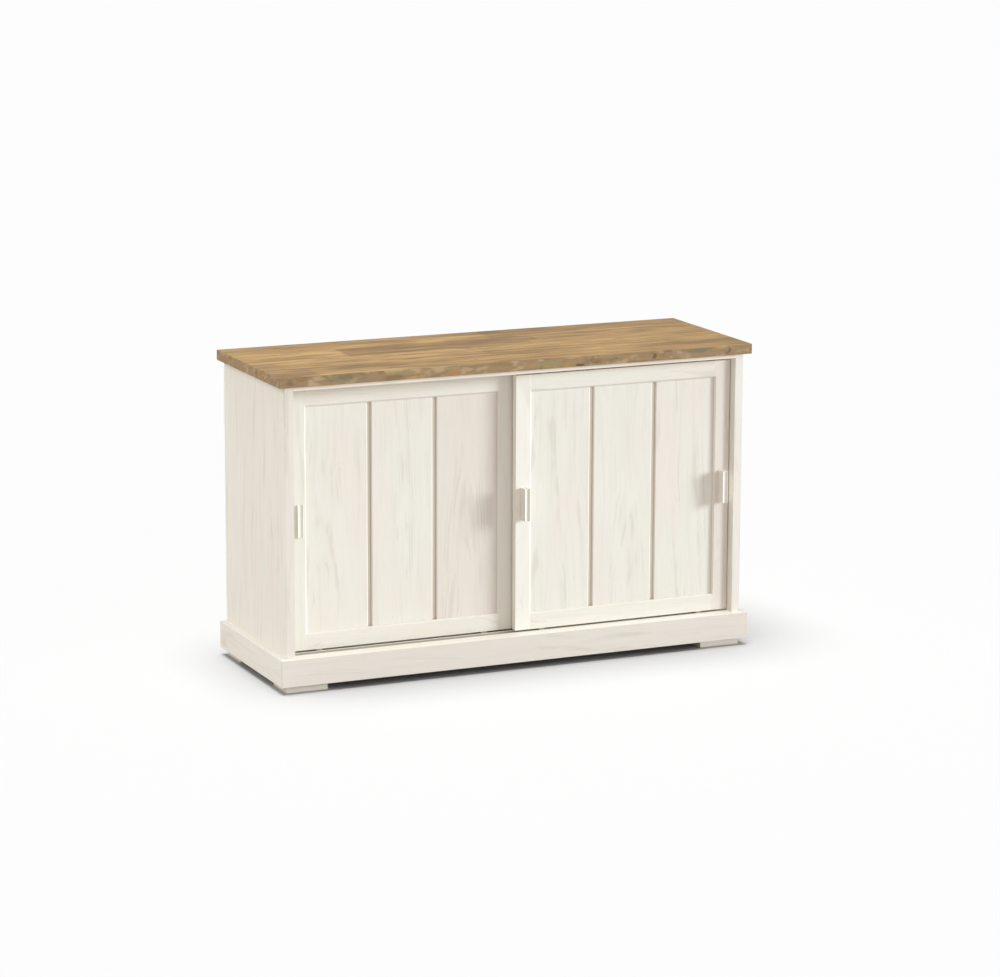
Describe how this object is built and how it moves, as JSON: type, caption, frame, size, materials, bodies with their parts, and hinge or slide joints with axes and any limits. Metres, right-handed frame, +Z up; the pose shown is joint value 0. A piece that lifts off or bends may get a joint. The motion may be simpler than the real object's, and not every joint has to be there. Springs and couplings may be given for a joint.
{
  "type": "sideboard",
  "caption": "Low sideboard with an oak top over a whitewashed body, framed plank doors that slide past each other on rollers, inner shelves and a plinth on low block feet.",
  "frame": {"origin": "on the floor under the middle of the cabinet", "axes": "+X to the right seen from the front, +Y from the doors to the back, +Z up"},
  "size_m": [1.5, 0.52, 0.922],
  "materials": {
    "whitewashed wood": "matt whitewash over fine grain",
    "oak top": "matt lacquered staves of mixed honey and brown tones",
    "interior board": "matt off-white board",
    "track plastic": "satin grey-brown extrusion",
    "roller nylon": "satin off-white moulding",
    "steel pins": "bright zinc plate"
  },
  "bodies": {
    "cabinet": {"top_panel": "oak top", "side_panel_left": "whitewashed wood", "side_panel_right": "whitewashed wood", "bottom_panel": "whitewashed wood", "back_panel": "interior board", "centre_partition": "interior board", "top_rail_front": "whitewashed wood", "top_rail_back": "interior board", "stop_lath_left": "whitewashed wood", "stop_lath_right": "whitewashed wood", "plinth_front": "whitewashed wood", "plinth_left": "whitewashed wood", "plinth_right": "whitewashed wood", "plinth_back": "interior board", "foot_front_left": "whitewashed wood", "foot_front_right": "whitewashed wood", "foot_back_left": "whitewashed wood", "foot_back_right": "whitewashed wood", "shelf_left": "interior board", "shelf_right": "interior board", "shelf_pin_left_1": "steel pins", "shelf_pin_left_2": "steel pins", "shelf_pin_left_3": "steel pins", "shelf_pin_left_4": "steel pins", "shelf_pin_right_1": "steel pins", "shelf_pin_right_2": "steel pins", "shelf_pin_right_3": "steel pins", "shelf_pin_right_4": "steel pins", "lower_track_front": "track plastic", "lower_track_rear": "track plastic", "upper_track": "track plastic"},
    "front_door": {"front_door_stile_left": "whitewashed wood", "front_door_stile_right": "whitewashed wood", "front_door_rail_top": "whitewashed wood", "front_door_rail_bottom": "whitewashed wood", "front_door_plank_left": "whitewashed wood", "front_door_plank_middle": "whitewashed wood", "front_door_plank_right": "whitewashed wood", "front_door_handle_left": "whitewashed wood", "front_door_handle_right": "whitewashed wood", "front_door_roller_housing_left": "roller nylon", "front_door_roller_housing_right": "roller nylon", "front_door_top_guide_left": "roller nylon", "front_door_top_guide_right": "roller nylon"},
    "front_door_wheel_left": {"front_door_wheel_left": "roller nylon"},
    "front_door_wheel_right": {"front_door_wheel_right": "roller nylon"},
    "rear_door": {"rear_door_stile_left": "whitewashed wood", "rear_door_stile_right": "whitewashed wood", "rear_door_rail_top": "whitewashed wood", "rear_door_rail_bottom": "whitewashed wood", "rear_door_plank_left": "whitewashed wood", "rear_door_plank_middle": "whitewashed wood", "rear_door_plank_right": "whitewashed wood", "rear_door_pull": "whitewashed wood", "rear_door_roller_housing_left": "roller nylon", "rear_door_roller_housing_right": "roller nylon", "rear_door_top_guide_left": "roller nylon", "rear_door_top_guide_right": "roller nylon"},
    "rear_door_wheel_left": {"rear_door_wheel_left": "roller nylon"},
    "rear_door_wheel_right": {"rear_door_wheel_right": "roller nylon"}
  },
  "joints": [
    {"name": "front_door_slide", "type": "slide", "parent": "cabinet", "child": "front_door", "axis": [1, 0, 0], "range_m": [-0.702, 0]},
    {"name": "rear_door_slide", "type": "slide", "parent": "cabinet", "child": "rear_door", "axis": [1, 0, 0], "range_m": [0, 0.686]},
    {"name": "front_door_wheel_left_spin", "type": "hinge", "parent": "front_door", "child": "front_door_wheel_left", "pos_m": [0.091, -0.204, 0.1103], "axis": [0, 1, 0], "range_deg": [-4030, 10]},
    {"name": "front_door_wheel_right_spin", "type": "hinge", "parent": "front_door", "child": "front_door_wheel_right", "pos_m": [0.611, -0.204, 0.1103], "axis": [0, 1, 0], "range_deg": [-4030, 10]},
    {"name": "rear_door_wheel_left_spin", "type": "hinge", "parent": "rear_door", "child": "rear_door_wheel_left", "pos_m": [-0.603, -0.175, 0.1103], "axis": [0, 1, 0], "range_deg": [-10, 3940]},
    {"name": "rear_door_wheel_right_spin", "type": "hinge", "parent": "rear_door", "child": "rear_door_wheel_right", "pos_m": [-0.083, -0.175, 0.1103], "axis": [0, 1, 0], "range_deg": [-10, 3940]}
  ],
  "couplings": [
    {"joint": "front_door_wheel_left_spin", "follows": "front_door_slide", "rad_per_m": 100},
    {"joint": "front_door_wheel_right_spin", "follows": "front_door_slide", "rad_per_m": 100},
    {"joint": "rear_door_wheel_left_spin", "follows": "rear_door_slide", "rad_per_m": 100},
    {"joint": "rear_door_wheel_right_spin", "follows": "rear_door_slide", "rad_per_m": 100}
  ]
}
